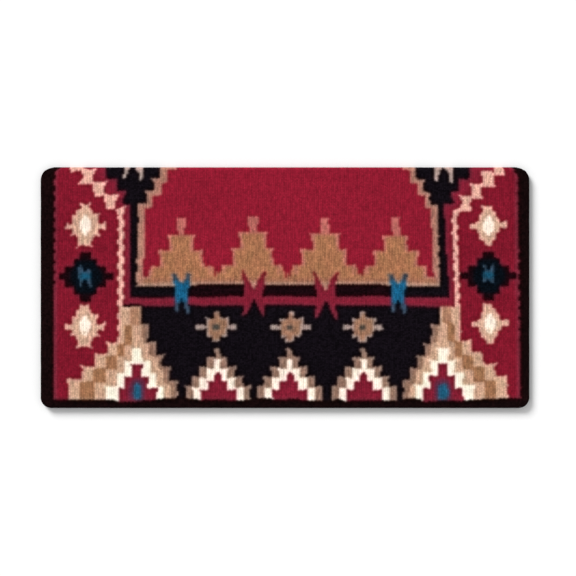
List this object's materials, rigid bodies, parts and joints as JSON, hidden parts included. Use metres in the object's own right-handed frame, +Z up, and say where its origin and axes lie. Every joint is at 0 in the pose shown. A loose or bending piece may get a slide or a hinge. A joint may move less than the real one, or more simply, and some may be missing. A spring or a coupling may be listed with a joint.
{
  "type": "folded saddle blanket",
  "caption": "Weft-faced wool saddle blanket with stepped tapestry pattern and black border, folded once; the upper half opens flat about the fold.",
  "frame": {"origin": "middle of the underside of the folded blanket, on the surface it lies on", "axes": "+X along the fold, +Y from the woven end towards the fold, +Z up out of the top face"},
  "size_m": [0.914, 0.4507, 0.0133],
  "materials": {
    "black_wool": "matte",
    "red_wool": "matte",
    "tan_wool": "matte",
    "cream_wool": "matte",
    "white_wool": "matte",
    "blue_wool": "matte",
    "grey_wool": "matte"
  },
  "bodies": {
    "lower_half": {"fold_lower": "red_wool", "lower_border_end": "black_wool", "lower_border_left": "black_wool", "lower_border_right": "black_wool", "lower_middle": "black_wool", "lower_panel_left": "red_wool", "lower_panel_right": "red_wool"},
    "upper_half": {"arch_red_left": "red_wool", "arch_red_middle": "red_wool", "arch_red_right": "red_wool", "arch_tan_left": "tan_wool", "arch_tan_middle": "tan_wool", "arch_tan_right": "tan_wool", "arch_white_left": "white_wool", "arch_white_middle": "white_wool", "arch_white_right": "white_wool", "black_frame_left": "black_wool", "black_frame_mid_left": "black_wool", "black_frame_mid_right": "black_wool", "black_frame_middle": "black_wool", "black_frame_right": "black_wool", "black_ground": "black_wool", "blue_hook_left": "blue_wool", "blue_hook_right": "blue_wool", "border_end": "black_wool", "border_left": "black_wool", "border_right": "black_wool", "centre_field": "red_wool", "corner_blue_left": "blue_wool", "corner_blue_right": "blue_wool", "corner_red_left": "red_wool", "corner_red_right": "red_wool", "corner_tan_left": "tan_wool", "corner_tan_right": "tan_wool", "corner_white_left": "white_wool", "corner_white_right": "white_wool", "diamond_hook_left": "blue_wool", "diamond_hook_right": "blue_wool", "diamond_left": "black_wool", "diamond_right": "black_wool", "fang_left_inner": "grey_wool", "fang_left_outer": "grey_wool", "fang_right_inner": "grey_wool", "fang_right_outer": "grey_wool", "fold_upper": "red_wool", "panel_left": "red_wool", "panel_right": "red_wool", "red_frame_left": "red_wool", "red_frame_middle": "red_wool", "red_frame_right": "red_wool", "small_star_left": "tan_wool", "small_star_middle": "tan_wool", "small_star_right": "tan_wool", "star_left_lower": "cream_wool", "star_left_upper": "cream_wool", "star_right_lower": "cream_wool", "star_right_upper": "cream_wool", "step_line_left": "cream_wool", "step_line_right": "cream_wool", "terraces": "tan_wool"}
  },
  "joints": [
    {"name": "fold_hinge", "type": "hinge", "parent": "lower_half", "child": "upper_half", "pos_m": [0, 0.2187, 0.00665], "axis": [-1, 0, 0], "range_deg": [0, 180], "deforming": ["fold_lower", "fold_upper"]}
  ]
}
